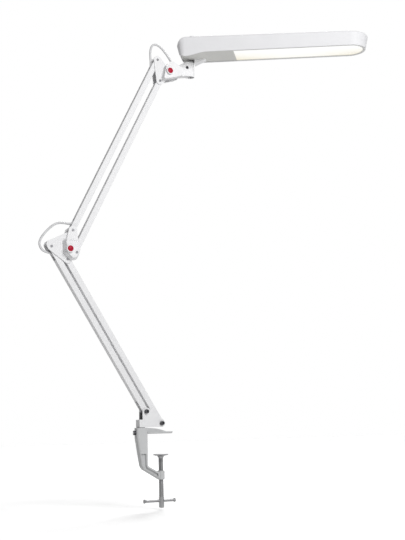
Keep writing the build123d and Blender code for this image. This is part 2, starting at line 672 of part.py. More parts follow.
# Knuckle between the head bracket and the head
def knuckle():
    """Fork round the head bracket's hub, with a split barrel for the swivel pin."""
    left = TILT[0] + BRACKET_R + FORK_CLEAR
    low, high = TILT[1] - KNUCKLE_LOW, TILT[1] + KNUCKLE_HIGH
    neck = SWIVEL_X - KNUCKLE_NECK
    web = Polygon((left, low), (neck, BARREL_Z), (SWIVEL_X, BARREL_Z), (SWIVEL_X, BARREL_TOP),
                  (neck, BARREL_TOP), (left, high), align=None)
    solid = slab(web, -BARREL_D / 2, BARREL_D / 2)
    root = web & (Pos(left + KNUCKLE_ROOT / 2, TILT[1]) * Rectangle(KNUCKLE_ROOT, 4 * KNUCKLE_HIGH))
    solid += slab(root, -CHEEK_IN, CHEEK_IN)
    solid += raised(KNUCKLE_FACE, TILT, BLOCK_FRONT, KNUCKLE_DRAFT, True)
    solid += raised(KNUCKLE_FACE, TILT, BLOCK_REAR, KNUCKLE_DRAFT, False)
    solid += upright(SWIVEL_X, 0, BARREL_D, BARREL_Z, BARREL_TOP)
    solid -= upright(SWIVEL_X, 0, SWIVEL_D + 2 * RUN, BARREL_Z, BARREL_TOP)
    solid -= upright(SWIVEL_X, 0, NUT_RECESS_D, BARREL_Z, NUT_SHOULDER)
    slit_len = PINCH_BACK + PINCH_HEAD_D
    solid -= Pos(SWIVEL_X - slit_len / 2, 0, (BARREL_Z + BARREL_TOP) / 2) * Box(slit_len, SLIT, 2 * BARREL_H)
    solid -= rod(PINCH, PINCH_HEAD_D + 2 * SEAT, -BARREL_D / 2, -BARREL_D / 2 + PINCH_HEAD_T)
    solid -= rod(TILT, JOINT_BOLT_HEAD_D + 2 * SEAT, BLOCK_REAR - JOINT_BOLT_HEAD_T, BLOCK_REAR)
    solid -= Pos(*GLAND_AT) * Rot(0, GLAND_TILT, 0) * Cylinder(GLAND_D / 2 + SEAT, 2 * GLAND_SINK)
    return drilled(solid, ((TILT, JOINT_BOLT_D), (PINCH, PINCH_D)))


def pinch_screw():
    head = rod(PINCH, PINCH_HEAD_D, -BARREL_D / 2, -BARREL_D / 2 + PINCH_HEAD_T)
    head -= hexagon(PINCH, PINCH_D * 0.8, -BARREL_D / 2, -BARREL_D / 2 + PINCH_HEAD_T / 2)
    return head + rod(PINCH, PINCH_D, -BARREL_D / 2 + PINCH_HEAD_T, BARREL_D / 2)


def knuckle_gland():
    plug = Pos(0, 0, -GLAND_SINK / 2) * Cylinder(GLAND_D / 2, GLAND_SINK)
    return Pos(*GLAND_AT) * Rot(0, GLAND_TILT, 0) * plug


node("knuckle", knuckle())
node("knuckle_bolt", joint_bolt(TILT))
node("head_knob", knob(TILT))
node("head_knob_cap", knob_cap(TILT))
node("pinch_screw", pinch_screw())
node("knuckle_cord_gland", knuckle_gland())


# Swivel, in world height
FLANGE_LOW = BARREL_TOP + GAP
SWIVEL_TOP = HEAD_Z + HEAD_H - SHELL - 6
NUT_TOP = NUT_SHOULDER - SEAT - SWIVEL_WASHER_T
NUT_LOW = NUT_TOP - SWIVEL_NUT_T
SWIVEL_LOW = NUT_LOW - 0.8


def swivel_pin():
    pin = upright(SWIVEL_X, 0, SWIVEL_D, SWIVEL_LOW, SWIVEL_TOP)
    pin += upright(SWIVEL_X, 0, SWIVEL_FLANGE_D, FLANGE_LOW, FLANGE_LOW + SWIVEL_FLANGE_T)
    return pin - upright(SWIVEL_X, 0, SWIVEL_BORE, SWIVEL_LOW, SWIVEL_TOP)


def swivel_nut():
    nut = extrude(RegularPolygon(SWIVEL_NUT_AF / 2, 6, major_radius=False), SWIVEL_NUT_T)
    return Pos(SWIVEL_X, 0, NUT_LOW) * nut - upright(SWIVEL_X, 0, SWIVEL_D + 2 * RUN, NUT_LOW, NUT_TOP)


def swivel_washer():
    return collar(SWIVEL_X, SWIVEL_WASHER_D, SWIVEL_D + 2 * RUN, NUT_TOP, NUT_TOP + SWIVEL_WASHER_T)


node("swivel_pin", swivel_pin())
node("swivel_nut", swivel_nut())
node("swivel_washer", swivel_washer())


# Head, in its own frame
HEAD = Pos(SWIVEL_X, 0, HEAD_Z) * Rot(0, 0, HEAD_YAW)


def head_outline(inset=0.0):
    """Lower rim: pivot end with round corners, half-round tip."""
    near, lean = HEAD_FAR - HEAD_W, HEAD_W / 2 * tan(radians(END_SKEW))
    sketch = Polygon((-HEAD_BACK - lean, near), (HEAD_TIP, near), (HEAD_TIP, HEAD_FAR),
                     (-HEAD_BACK + lean, HEAD_FAR), align=None)
    sketch += Pos(HEAD_TIP, HEAD_MID_Y) * Circle(HEAD_W / 2)
    sketch = fillet(sketch.vertices().sort_by(Axis.X)[:2], HEAD_CORNER_R)
    return offset(sketch, amount=-inset) if inset else sketch


TOP_SLOPE = degrees(atan2(HEAD_H - HEAD_H_TIP, HEAD_TIP))


def roof(below=0.0):
    """Plane of the head's top, which falls a little towards the tip."""
    return Plane(origin=(0, 0, HEAD_H - below), z_dir=(sin(radians(TOP_SLOPE)), 0, cos(radians(TOP_SLOPE))))


def under_roof(solid, below=0.0):
    return split(solid, bisect_by=roof(below), keep=Keep.BOTTOM)


def hull(inset, z0, below):
    """Head-shaped block from z0 up to the roof, widening upwards."""
    grow = z0 * tan(radians(HEAD_DRAFT))
    sketch = head_outline(inset - grow)
    block = Pos(0, 0, z0) * extrude(sketch, HEAD_H + 8, taper=-HEAD_DRAFT)
    return under_roof(block, below)


def across(x, length):
    """Block across the head from the slanting line through x, to the left where the length is negative."""
    block = Pos(length / 2, 0, 0) * Box(abs(length), 3 * HEAD_W, 4 * HEAD_H)
    return Pos(x, HEAD_MID_Y, 0) * Rot(0, 0, -END_SKEW) * block


def end_round(inset=0.0):
    """Everything under the rounded top of the pivot end, moved in by the inset."""
    low, high = END_TOP[0], END_TOP[-1]
    far, deep = 2 * HEAD_TIP, 2 * HEAD_H
    frame = Polyline(high, (high[0], deep), (far, deep), (far, -deep), (-far, -deep), (-far, low[1]), low)
    return slab(Pos(inset, -inset) * make_face(Spline(*END_TOP) + frame), -2 * HEAD_W, 2 * HEAD_W)


def skirt():
    """Lobe of the near wall below the rim, at the pivot end."""
    inner, outer = (Pos(0, 0, -SKIRT_DROP) * extrude(
        head_outline(inset + SKIRT_DROP * tan(radians(HEAD_DRAFT))), SKIRT_DROP + 1, taper=-HEAD_DRAFT)
        for inset in (SHELL * 0.8, 0.0))
    start, end = SKIRT_EDGE[0], SKIRT_EDGE[-1]
    side = make_face(Spline(*SKIRT_EDGE) + Polyline(end, (end[0], 1), (start[0], 1), start))
    return (outer - inner) & slab(side, -2 * HEAD_W, HEAD_FAR - HEAD_W + HEAD_CORNER_R)


def posts(middle, board, inset, corners):
    """Post centres at some corners of a board, each set in from its edges."""
    reach = [board[i] / 2 - inset[i] for i in (0, 1)]
    return [plus(middle, (sx * reach[0], sy * reach[1])) for sx, sy in corners]


LED_MID = (PANEL_END + LED_START + LED_BOARD[0] / 2, HEAD_MID_Y)
LED_POSTS = posts(LED_MID, LED_BOARD, LED_INSET, ((-1, -1), (-1, 1), (1, -1), (1, 1)))
DRIVER_MID = (PANEL_END / 2 + DRIVER_STEP[0], HEAD_MID_Y + DRIVER_STEP[1])
DRIVER_POSTS = posts(DRIVER_MID, DRIVER_BOARD, DRIVER_INSET, ((-1, 1), (1, -1), (1, 1)))
screw_x = PANEL_END - PANEL_SCREW_INSET[0]
screw_y = HEAD_W / 2 - PANEL_SCREW_INSET[1]
PANEL_SCREWS = [(screw_x, HEAD_MID_Y - screw_y), (screw_x, HEAD_MID_Y + screw_y),
                (-HEAD_BACK + PANEL_SCREW_END[0], HEAD_MID_Y + PANEL_SCREW_END[1])]
SWITCH_AT = (-HEAD_BACK + SWITCH_STEP[0], HEAD_FAR - HEAD_W + SWITCH_STEP[1])


def roof_z(x):
    return HEAD_H - x * tan(radians(TOP_SLOPE))


def switch_seat():
    """Height of the switch body's top, which leaves room for the button's travel."""
    return roof_z(SWITCH_AT[0]) - SHELL - 3 - SWITCH_TRAVEL - GAP


def head_shade():
    body = hull(0, 0, 0)
    top = body.faces().sort_by(Axis.Z)[-1]
    body = fillet(top.outer_wire().edges(), HEAD_TOP_R) & end_round()
    filled = body
    body -= extrude(head_outline(SHELL * 0.8), LEDGE_Z)
    body -= Pos(0, 0, LEDGE_Z) * extrude(head_outline(SHELL * 0.8 + LEDGE_W), LEDGE_T)
    body -= hull(SHELL, LEDGE_Z + LEDGE_T, SHELL) & end_round(SHELL)
    above = Pos(0, 0, LEDGE_Z + HEAD_H) * Box(4 * HEAD_TIP, 4 * HEAD_W, 2 * HEAD_H)
    fittings = across(PANEL_END - 1, 2) & above
    for x, y in LED_POSTS:
        fittings += upright(x, y, POST_D, LED_BOARD_Z + LED_BOARD[2], HEAD_H)
    for x, y in DRIVER_POSTS:
        fittings += upright(x, y, POST_D, DRIVER_Z + DRIVER_BOARD[2], HEAD_H)
    for x, y in PANEL_SCREWS:
        fittings += upright(x, y, POST_D, LEDGE_Z, HEAD_H)
    fittings += upright(0, 0, SWIVEL_FLANGE_D, LEDGE_Z, HEAD_H)
    inset = SWITCH_POST_D / 2
    for side in (-1, 1):
        x, y = (SWITCH_AT[i] + side * (SWITCH_BODY[i] / 2 - inset) for i in (0, 1))
        fittings += upright(x, y, SWITCH_POST_D, switch_seat(), HEAD_H)
    body += fittings & filled
    body += skirt()
    for x, y in PANEL_SCREWS:
        body -= upright(x, y, PANEL_SCREW_D + 2 * RUN, LEDGE_Z, LEDGE_Z + PANEL_SCREW_LEN)
    body -= upright(0, 0, SWIVEL_D + 2 * RUN, 0, SWIVEL_TOP - HEAD_Z + SEAT)
    body -= upright(*SWITCH_AT, SWITCH_D + 2 * GAP, HEAD_H / 2, HEAD_H + 10)
    return body


def head_panel():
    body = extrude(head_outline(SHELL * 0.8 + SEAT), PANEL_T) & across(PANEL_END - SEAT, -HEAD_TIP)
    body = Pos(0, 0, LEDGE_Z - PANEL_T) * body
    for x, y in PANEL_SCREWS:
        body -= upright(x, y, PANEL_SCREW_D + 2 * RUN, 0, LEDGE_Z)
        low = LEDGE_Z - PANEL_T
        body -= upright(x, y, PANEL_SCREW_HEAD_D + 2 * RUN, low, low + PANEL_SCREW_HEAD_T)
    return body - upright(0, 0, SWIVEL_D + 2 * RUN, 0, LEDGE_Z)


def diffuser():
    body = extrude(head_outline(SHELL * 0.8 + SEAT), DIFFUSER_T) & across(PANEL_END + SEAT, 2 * HEAD_TIP)
    return Pos(0, 0, LEDGE_Z - DIFFUSER_T) * body


def panel_screw(x, y):
    low = LEDGE_Z - PANEL_T
    neck = low + PANEL_SCREW_HEAD_T
    head = upright(x, y, PANEL_SCREW_HEAD_D, low, neck)
    return head + upright(x, y, PANEL_SCREW_D, neck, LEDGE_Z + PANEL_SCREW_LEN)


def led_board():
    return Pos(*LED_MID, LED_BOARD_Z + LED_BOARD[2] / 2) * Box(*LED_BOARD)


def led_chips():
    pitch_x = (LED_BOARD[0] - 2 * LED_END_GAP) / (LED_COLUMNS - 1)
    pitch_y = LED_BOARD[1] / 2
    spots = GridLocations(pitch_x, pitch_y, LED_COLUMNS, LED_ROWS)
    middle = Pos(*LED_MID, LED_BOARD_Z - LED_SIZE[2] / 2)
    return [middle * spot * Box(*LED_SIZE) for spot in spots]


def driver_board():
    return Pos(*DRIVER_MID, DRIVER_Z + DRIVER_BOARD[2] / 2) * Box(*DRIVER_BOARD)


def driver_parts():
    """Transformer and two capacitors under the driver board."""
    x, y = DRIVER_MID
    right = x + TRANSFORMER[0] / 2 - DRIVER_BOARD[0] / 8
    transformer = Pos(x - DRIVER_BOARD[0] / 8, y, DRIVER_Z - TRANSFORMER[2] / 2) * Box(*TRANSFORMER)
    steps = [CAPACITOR_GAP + CAPACITOR_D / 2 + i * (CAPACITOR_D + CAPACITOR_GAP) for i in (0, 1)]
    low = DRIVER_Z - TRANSFORMER[2]
    return [transformer] + [upright(right + step, y, CAPACITOR_D, low, DRIVER_Z) for step in steps]


def switch_button():
    """Round push button through the top, with a flange below the roof."""
    x, y = SWITCH_AT
    low = roof_z(x) - SHELL - 3
    body = upright(x, y, SWITCH_D, low, roof_z(x) + SWITCH_RISE)
    rim = body.faces().sort_by(Axis.Z)[-1].edges()
    return fillet(rim, 1.2)


def switch_body():
    return Pos(*SWITCH_AT, switch_seat() - SWITCH_BODY[2] / 2) * Box(*SWITCH_BODY)


def swivel_mount():
    """Moulded gusset under the panel beside the swivel flange."""
    start = SWIVEL_FLANGE_D / 2 + 1
    top = LEDGE_Z - PANEL_T
    side = Polygon((start, top), (MOUNT_LEN, top), (start, -MOUNT_DROP), align=None)
    return slab(side, -MOUNT_W / 2, MOUNT_W / 2 - 1)


node("head_shade", HEAD * head_shade())
node("head_panel", HEAD * head_panel())
node("panel_screws", *[HEAD * panel_screw(x, y) for x, y in PANEL_SCREWS])
node("diffuser", HEAD * diffuser())
node("led_board", HEAD * led_board())
node("led_chips", *[HEAD * chip for chip in led_chips()])
node("driver_board", HEAD * driver_board())
node("driver_parts", *[HEAD * piece for piece in driver_parts()])
node("switch_button", HEAD * switch_button())
node("switch_body", HEAD * switch_body())
node("swivel_mount", HEAD * swivel_mount())


# Cords: chosen points in the arms' plane, as (x, z)
ELBOW_CORD = [(-207.4, 332.8), (-220.6, 354.2), (-243.0, 357.0), (-252.0, 373.0), (-243.0, 391.0),
              (-222.0, 412.5), (-206.0, 418.0), (-178.9, 413.8), (-167.4, 436.6)]
HEAD_CORD = [(-12.9, 745.3), (-5.9, 759.3), (-9.4, 812.5), (10.6, 821.0), (38.5, 789.5), (46.45, 772.75)]


def cord(name, points):
    """Round cord through chosen points, with each corner rounded off."""
    radii = []
    for a, b, c in zip(points, points[1:], points[2:]):
        run = min(hypot(b[0] - a[0], b[1] - a[1]), hypot(c[0] - b[0], c[1] - b[1]))
        turn = atan2(c[1] - b[1], c[0] - b[0]) - atan2(b[1] - a[1], b[0] - a[0])
        turn = abs((turn + pi) % (2 * pi) - pi)
        radii.append(0.45 * run / tan(turn / 2))
    path = FilletPolyline(*[(x, 0, z) for x, z in points], radius=radii)
    solid = sweep(Plane(origin=path @ 0, z_dir=path % 0) * Circle(CORD_D / 2), path=path)
    print(name, "radii", [round(r, 1) for r in radii], "length", round(path.length, 1),
          "volume ratio", round(solid.volume / (pi * CORD_D ** 2 / 4 * path.length), 4))
    return solid


node("elbow_cord", cord("elbow_cord", ELBOW_CORD))
node("head_cord", cord("head_cord", HEAD_CORD))

for name, shape in PARTS.items():
    export_step(shape, f"parts/{name}.step")
print(len(PARTS), "nodes")
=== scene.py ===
"""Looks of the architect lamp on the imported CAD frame: materials, cord loops, studio and camera."""
import json
from math import atan, cos, radians, sin, tan

import bpy
from mathutils import Matrix, Vector


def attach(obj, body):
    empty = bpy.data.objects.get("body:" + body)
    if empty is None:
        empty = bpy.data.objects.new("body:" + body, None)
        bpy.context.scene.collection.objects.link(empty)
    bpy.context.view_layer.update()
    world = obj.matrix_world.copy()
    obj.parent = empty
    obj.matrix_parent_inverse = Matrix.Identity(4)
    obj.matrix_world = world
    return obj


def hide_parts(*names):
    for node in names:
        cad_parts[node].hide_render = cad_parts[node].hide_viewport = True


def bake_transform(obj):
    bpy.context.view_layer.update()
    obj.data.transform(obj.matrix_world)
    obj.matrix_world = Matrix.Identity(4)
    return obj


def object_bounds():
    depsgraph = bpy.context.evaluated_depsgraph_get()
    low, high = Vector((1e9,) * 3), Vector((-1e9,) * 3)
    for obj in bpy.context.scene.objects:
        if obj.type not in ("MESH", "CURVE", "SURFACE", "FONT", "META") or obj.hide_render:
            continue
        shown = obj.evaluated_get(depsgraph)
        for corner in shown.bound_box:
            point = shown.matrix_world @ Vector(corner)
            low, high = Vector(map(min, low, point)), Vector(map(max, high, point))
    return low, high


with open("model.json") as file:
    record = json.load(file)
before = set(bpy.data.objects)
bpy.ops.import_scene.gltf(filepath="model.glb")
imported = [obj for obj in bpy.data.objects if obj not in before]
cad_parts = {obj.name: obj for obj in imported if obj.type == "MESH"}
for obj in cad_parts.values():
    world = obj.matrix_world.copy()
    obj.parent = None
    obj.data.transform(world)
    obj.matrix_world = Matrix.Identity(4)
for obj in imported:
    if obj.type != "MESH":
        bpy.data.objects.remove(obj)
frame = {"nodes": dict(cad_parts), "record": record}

scene = bpy.context.scene
cad_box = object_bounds()
PER_METRE = 1000        # the head's sizes and the cords' routes are in millimetres


# Node trees
class Nodes:
    """Short names for adding and joining the nodes of one tree."""

    def __init__(self, owner):
        owner.use_nodes = True
        self.tree = owner.node_tree
        self.tree.nodes.clear()

    def add(self, kind, **settings):
        node = self.tree.nodes.new(kind)
        for key, value in settings.items():
            setattr(node, key, value)
        return node

    def link(self, output, socket):
        self.tree.links.new(output, socket)

    def math(self, operation, first, second):
        """Result of an operation on two outputs, or on an output and a number."""
        node = self.add("ShaderNodeMath", operation=operation)
        self.link(first, node.inputs[0])
        if isinstance(second, float):
            node.inputs[1].default_value = second
        else:
            self.link(second, node.inputs[1])
        return node.outputs["Value"]

    def direct_rays(self):
        """1 for what the camera sees straight, or in metal and glass, and 0 for light on surfaces."""
        rays = self.add("ShaderNodeLightPath").outputs
        mirrored = self.math("MAXIMUM", rays["Is Glossy Ray"], rays["Is Transmission Ray"])
        return self.math("MAXIMUM", rays["Is Camera Ray"], mirrored)


class Material(Nodes):
    """A new material's nodes, with textures over the object's own coordinates."""

    def __init__(self, name):
        self.material = bpy.data.materials.new(name)
        super().__init__(self.material)
        self.out = self.add("ShaderNodeOutputMaterial")
        self.coords = self.add("ShaderNodeTexCoord").outputs["Object"]

    def noise(self, scale, detail=2, stretch=None):
        """Noise in cycles per metre, stretched where asked."""
        place = self.coords
        if stretch:
            mapping = self.add("ShaderNodeMapping")
            mapping.inputs["Scale"].default_value = stretch
            self.link(self.coords, mapping.inputs["Vector"])
            place = mapping.outputs["Vector"]
        noise = self.add("ShaderNodeTexNoise")
        noise.inputs["Scale"].default_value = scale
        noise.inputs["Detail"].default_value = detail
        self.link(place, noise.inputs["Vector"])
        return noise.outputs["Fac"]

    def ramp(self, value, low, high, start=0.3, end=0.7):
        """Colour that runs from low to high while the value runs from start to end."""
        ramp = self.add("ShaderNodeValToRGB")
        for element, position, rgb in zip(ramp.color_ramp.elements, (start, end), (low, high)):
            element.position = position
            element.color = (*rgb, 1)
        self.link(value, ramp.inputs["Fac"])
        return ramp.outputs["Color"]

    def span(self, value, low, high, start=0.25, end=0.75):
        """Number that runs from low to high while the value runs from start to end."""
        span = self.add("ShaderNodeMapRange")
        span.inputs["From Min"].default_value = start
        span.inputs["From Max"].default_value = end
        span.inputs["To Min"].default_value = low
        span.inputs["To Max"].default_value = high
        self.link(value, span.inputs["Value"])
        return span.outputs["Result"]

    def bump(self, height, depth):
        """Normal of a skin whose noise stands up to depth metres proud."""
        bump = self.add("ShaderNodeBump")
        bump.inputs["Distance"].default_value = depth
        self.link(height, bump.inputs["Height"])
        return bump.outputs["Normal"]

    def surface(self, color, roughness, normal=None, metallic=0.0, specular=0.5):
        """Principled shader on the material's output."""
        shader = self.add("ShaderNodeBsdfPrincipled")
        self.link(color, shader.inputs["Base Color"])
        self.link(roughness, shader.inputs["Roughness"])
        if normal:
            self.link(normal, shader.inputs["Normal"])
        shader.inputs["Metallic"].default_value = metallic
        shader.inputs["Specular IOR Level"].default_value = specular
        self.link(shader.outputs["BSDF"], self.out.inputs["Surface"])
        return shader


# Materials: noise scales in cycles per metre, depths of bumps in metres
def shades(rgb, spread):
    """The colour a little darker and a little lighter."""
    return [tuple(min(1.0, c * f) for c in rgb) for f in (1 - spread, 1 + spread)]


COAT_DRIFT = 28
COAT_SPREAD = 0.012
COAT_SPECULAR = 0.2


def coated(name, rgb, grain=1400, depth=0.000002, rough=(0.40, 0.48)):
    """Powder coat or fine moulded plastic: pebbled skin, slow drift of shade."""
    n = Material(name)
    color = n.ramp(n.noise(COAT_DRIFT), *shades(rgb, COAT_SPREAD))
    skin = n.noise(grain)
    n.surface(color, n.span(skin, *rough), n.bump(skin, depth), specular=COAT_SPECULAR)
    return n.material


STEEL_LINES = 900
STEEL_STAIN = 90
STEEL_DETAIL = 4
STEEL_SPREAD = 0.1
STEEL_DEPTH = 0.00003


def metal(name, rgb, stretch, rough=(0.28, 0.45)):
    """Turned or drawn steel with fine lines along one direction."""
    n = Material(name)
    color = n.ramp(n.noise(STEEL_STAIN, STEEL_DETAIL), *shades(rgb, STEEL_SPREAD))
    lines = n.noise(STEEL_LINES, STEEL_DETAIL, stretch)
    n.surface(color, n.span(lines, *rough), n.bump(lines, STEEL_DEPTH), metallic=1.0)
    return n.material


RUBBER_DRIFT = 60
RUBBER_SPREAD = 0.08
RUBBER_GRAIN = 900
RUBBER_DETAIL = 3
RUBBER_DEPTH = 0.00005


def rubber(name, rgb, rough=(0.5, 0.7)):
    """Rubber, nylon or a cord's sheath: dull, with a fine grain."""
    n = Material(name)
    color = n.ramp(n.noise(RUBBER_DRIFT), *shades(rgb, RUBBER_SPREAD))
    skin = n.noise(RUBBER_GRAIN, RUBBER_DETAIL)
    n.surface(color, n.span(skin, *rough), n.bump(skin, RUBBER_DEPTH))
    return n.material


GLOSS_DRIFT = 120
GLOSS_SPREAD = 0.06
GLOSS_GRAIN = 400
GLOSS_ROUGH = (0.3, 0.42)
GLOSS_WAVES = 250
GLOSS_DEPTH = 0.00002
GLOSS_SPECULAR = 0.12


def gloss(name, rgb):
    """Smooth moulding with slight waves in its skin."""
    n = Material(name)
    color = n.ramp(n.noise(GLOSS_DRIFT), *shades(rgb, GLOSS_SPREAD))
    waves = n.bump(n.noise(GLOSS_WAVES), GLOSS_DEPTH)
    n.surface(color, n.span(n.noise(GLOSS_GRAIN), *GLOSS_ROUGH), waves, specular=GLOSS_SPECULAR)
    return n.material


# Head's lower rim, in millimetres: its place in the shared frame, then sizes in the head's own directions
HEAD_YAW = radians(-29.5)
SWIVEL_X = 86.06
HEAD_Z = 791.93
RIM_R = 31.9            # inside of the rim, from its middle line
RIM_MID = -21.5         # from the swivel axis across to the middle line
RIM_TIP = 340.3         # from the swivel axis along to the centre of the round tip
DIFFUSER_START = 97.4   # from the swivel axis along to the slanting joint with the panel
END_SKEW = radians(5.8)


def head_point(u, v, z):
    """Point u along the head, v across it and z above its rim, in metres in the shared frame."""
    x = SWIVEL_X + u * cos(HEAD_YAW) - v * sin(HEAD_YAW)
    y = u * sin(HEAD_YAW) + v * cos(HEAD_YAW)
    return Vector((x, y, HEAD_Z + z)) / PER_METRE


OPAL_CLOUD = 40
OPAL_SHADES = ((0.33, 0.33, 0.325), (0.36, 0.36, 0.355))
OPAL_GRAIN = 700
OPAL_ROUGH = (0.3, 0.45)
GLOW_STRENGTH = 0.7
GLOW_EVEN = (0.99, 1.0, 0.99)
GLOW_WARM = (0.78, 0.69, 0.46)  # at the far edge, at both ends
WARM_LENGTH = 0.1               # reach of the warm ends, in metres
WARM_BETWEEN = 0.3              # share of the warmth that is left between the ends
WARM_POWER = 1.6                # how late the warmth comes on across the diffuser


def opal():
    """Lit diffuser: even glow that gets warmer towards the far edge, most of all at both ends."""
    n = Material("opal_diffuser")
    color = n.ramp(n.noise(OPAL_CLOUD), *OPAL_SHADES)
    shader = n.surface(color, n.span(n.noise(OPAL_GRAIN), *OPAL_ROUGH))
    turned = n.add("ShaderNodeMapping", vector_type="TEXTURE")
    turned.inputs["Location"].default_value = head_point(RIM_TIP, RIM_MID, 0)
    turned.inputs["Rotation"].default_value = (0, 0, HEAD_YAW)
    n.link(n.coords, turned.inputs["Vector"])
    axes = n.add("ShaderNodeSeparateXYZ")
    n.link(turned.outputs["Vector"], axes.inputs["Vector"])
    start = (DIFFUSER_START - RIM_TIP) / PER_METRE
    half = RIM_R / PER_METRE
    near_start = n.span(axes.outputs["X"], 1, 0, start, start + WARM_LENGTH)
    near_tip = n.span(axes.outputs["X"], 0, 1, half - WARM_LENGTH, half)
    ends = n.span(n.math("MAXIMUM", near_start, near_tip), WARM_BETWEEN, 1, 0, 1)
    far_edge = n.math("POWER", n.span(axes.outputs["Y"], 0, 1, -half, half), WARM_POWER)
    glow = n.ramp(n.math("MULTIPLY", far_edge, ends), GLOW_EVEN, GLOW_WARM, 0, 1)
    n.link(glow, shader.inputs["Emission Color"])
    shader.inputs["Emission Strength"].default_value = GLOW_STRENGTH
    n.material.cycles.emission_sampling = "NONE"
    return n.material


# Looks by material slot, with some nodes' own looks below
LOOKS = {
    "white_paint": coated("white_powder_coat", (0.80, 0.80, 0.81)),
    # The clamp wears the same white paint as the arms, darkened here as painted shade over its whole body
    "painted_shade_clamp": coated("clamp_coat_painted_shade", (0.56, 0.565, 0.57), grain=1000, depth=0.00004),
    "white_plastic": coated("white_plastic", (0.82, 0.82, 0.83), grain=2200, depth=0.000015,
                            rough=(0.34, 0.46)),
    # The head's shell is the same white plastic, darker here as painted shade
    "painted_shade_head_shell": coated("painted_shade_head_shell", (0.765, 0.765, 0.78), grain=1800, depth=0.00002,
                           rough=(0.36, 0.48)),
    "panel": coated("panel_plastic", (0.69, 0.69, 0.665), grain=1500, depth=0.00003, rough=(0.45, 0.6)),
    # The swivel mount is the same white plastic, lighter here as painted light where the head shades it
    "painted_light_mount": coated("painted_light_mount", (0.92, 0.92, 0.93), grain=2200, rough=(0.36, 0.48)),
    "frame_plastic": coated("frame_plastic", (0.72, 0.72, 0.705), grain=1500, rough=(0.45, 0.6)),
    "opal": opal(),
    "steel": metal("zinc_steel", (0.285, 0.285, 0.29), (0.15, 0.15, 2.0)),
    "bar_steel": metal("drawn_steel", (0.26, 0.26, 0.265), (0.1, 1.5, 1.5)),
    "dark_steel": metal("dark_steel", (0.06, 0.06, 0.065), (1.0, 0.3, 1.0), rough=(0.3, 0.5)),
    "pin_steel": metal("pin_steel", (0.11, 0.11, 0.115), (1.0, 0.3, 1.0), rough=(0.3, 0.5)),
    "red": gloss("red_cap", (0.40, 0.008, 0.03)),
    "black_rubber": rubber("black_rubber", (0.022, 0.022, 0.024)),
    "nylon": rubber("grey_nylon", (0.22, 0.22, 0.23)),
    "cord": rubber("cord_sheath", (0.62, 0.62, 0.63), rough=(0.35, 0.5)),
    "board": coated("circuit_board", (0.74, 0.77, 0.73), grain=600, rough=(0.3, 0.45)),
    "led": gloss("led_phosphor", (0.9, 0.72, 0.25)),
}
NODE_LOOKS = {
    "clamp_body": "painted_shade_clamp", "tommy_bar": "bar_steel", "spigot_lock_screw": "dark_steel",
    "elbow_bracket_pins": "pin_steel", "elbow_block_pins": "pin_steel", "head_bracket_pins": "pin_steel",
    "head_shade": "painted_shade_head_shell", "head_panel": "panel", "panel_screws": "panel", "diffuser": "opal",
    "swivel_mount": "painted_light_mount",
}
slots = {part["node"]: part["material_slot"] for part in frame["record"]["subparts"]}
for name, obj in frame["nodes"].items():
    obj.data.materials.clear()
    obj.data.materials.append(LOOKS[NODE_LOOKS.get(name, slots[name])])


# New pieces
def mesh_object(name, verts, faces, material):
    """New object of one material, linked to the scene."""
    mesh = bpy.data.meshes.new(name)
    mesh.from_pydata(verts, [], faces)
    mesh.update()
    mesh.materials.append(material)
    obj = bpy.data.objects.new(name, mesh)
    scene.collection.objects.link(obj)
    return obj


def swept(rings):
    """Points and faces of a closed skin over a row of rings, which have the same number of points."""
    sides = len(rings[0])
    verts = [point for ring in rings for point in ring]
    faces = [tuple(range(sides)), tuple(reversed(range(len(verts) - sides, len(verts))))]
    for here in range(0, len(verts) - sides, sides):
        for j in range(sides):
            k = (j + 1) % sides
            faces.append((here + k, here + j, here + sides + j, here + sides + k))
    return verts, faces


# Frame that holds the diffuser in the rim, in millimetres
FRAME_W = 4.2
FRAME_H = 0.95
FRAME_CHAMFER = 0.5
TIP_STEPS = 40


def diffuser_frame():
    """Slim U-shaped frame under the diffuser's edge, flush with the rim."""
    inner = RIM_R - FRAME_W
    section = [(inner, FRAME_H), (inner, FRAME_CHAMFER), (inner + FRAME_CHAMFER, 0)]
    section += [(RIM_R, 0), (RIM_R, FRAME_H)]
    angles = [radians(-90 + 180 * i / TIP_STEPS) for i in range(TIP_STEPS + 1)]
    starts = [DIFFUSER_START + side * RIM_R * tan(END_SKEW) - RIM_TIP for side in (-1, 1)]
    stations = [(starts[0], angles[0])] + [(0, a) for a in angles] + [(starts[1], angles[-1])]
    rings = []
    for run, a in stations:
        middle = RIM_TIP + run
        rings.append([head_point(middle + r * cos(a), RIM_MID + r * sin(a), z) for r, z in section])
    frame_piece = mesh_object("diffuser_frame", *swept(rings), LOOKS["frame_plastic"])
    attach(frame_piece, "head")


diffuser_frame()


# Cords: the routes' points, in millimetres in the arms' plane
CORD_D = 0.0045         # in metres
CORD_SIDES = 14
ROUTE_STEPS = 14        # between one of the route's points and the next
ROUTE_ORDER = 3
ELBOW_CORD = [
    (-207.4, 332.8), (-220.6, 354.2), (-243.0, 357.0), (-252.0, 373.0), (-243.0, 391.0),
    (-222.0, 412.5), (-206.0, 418.0), (-178.9, 413.8), (-167.4, 436.6),
]
HEAD_CORD = [(-12.9, 745.3), (-5.9, 759.3), (-9.4, 812.5), (10.6, 821.0), (38.5, 789.5), (46.45, 772.75)]


def arm_point(x, z):
    """Point of the arms' plane, in metres in the shared frame."""
    return (x / PER_METRE, 0, z / PER_METRE)


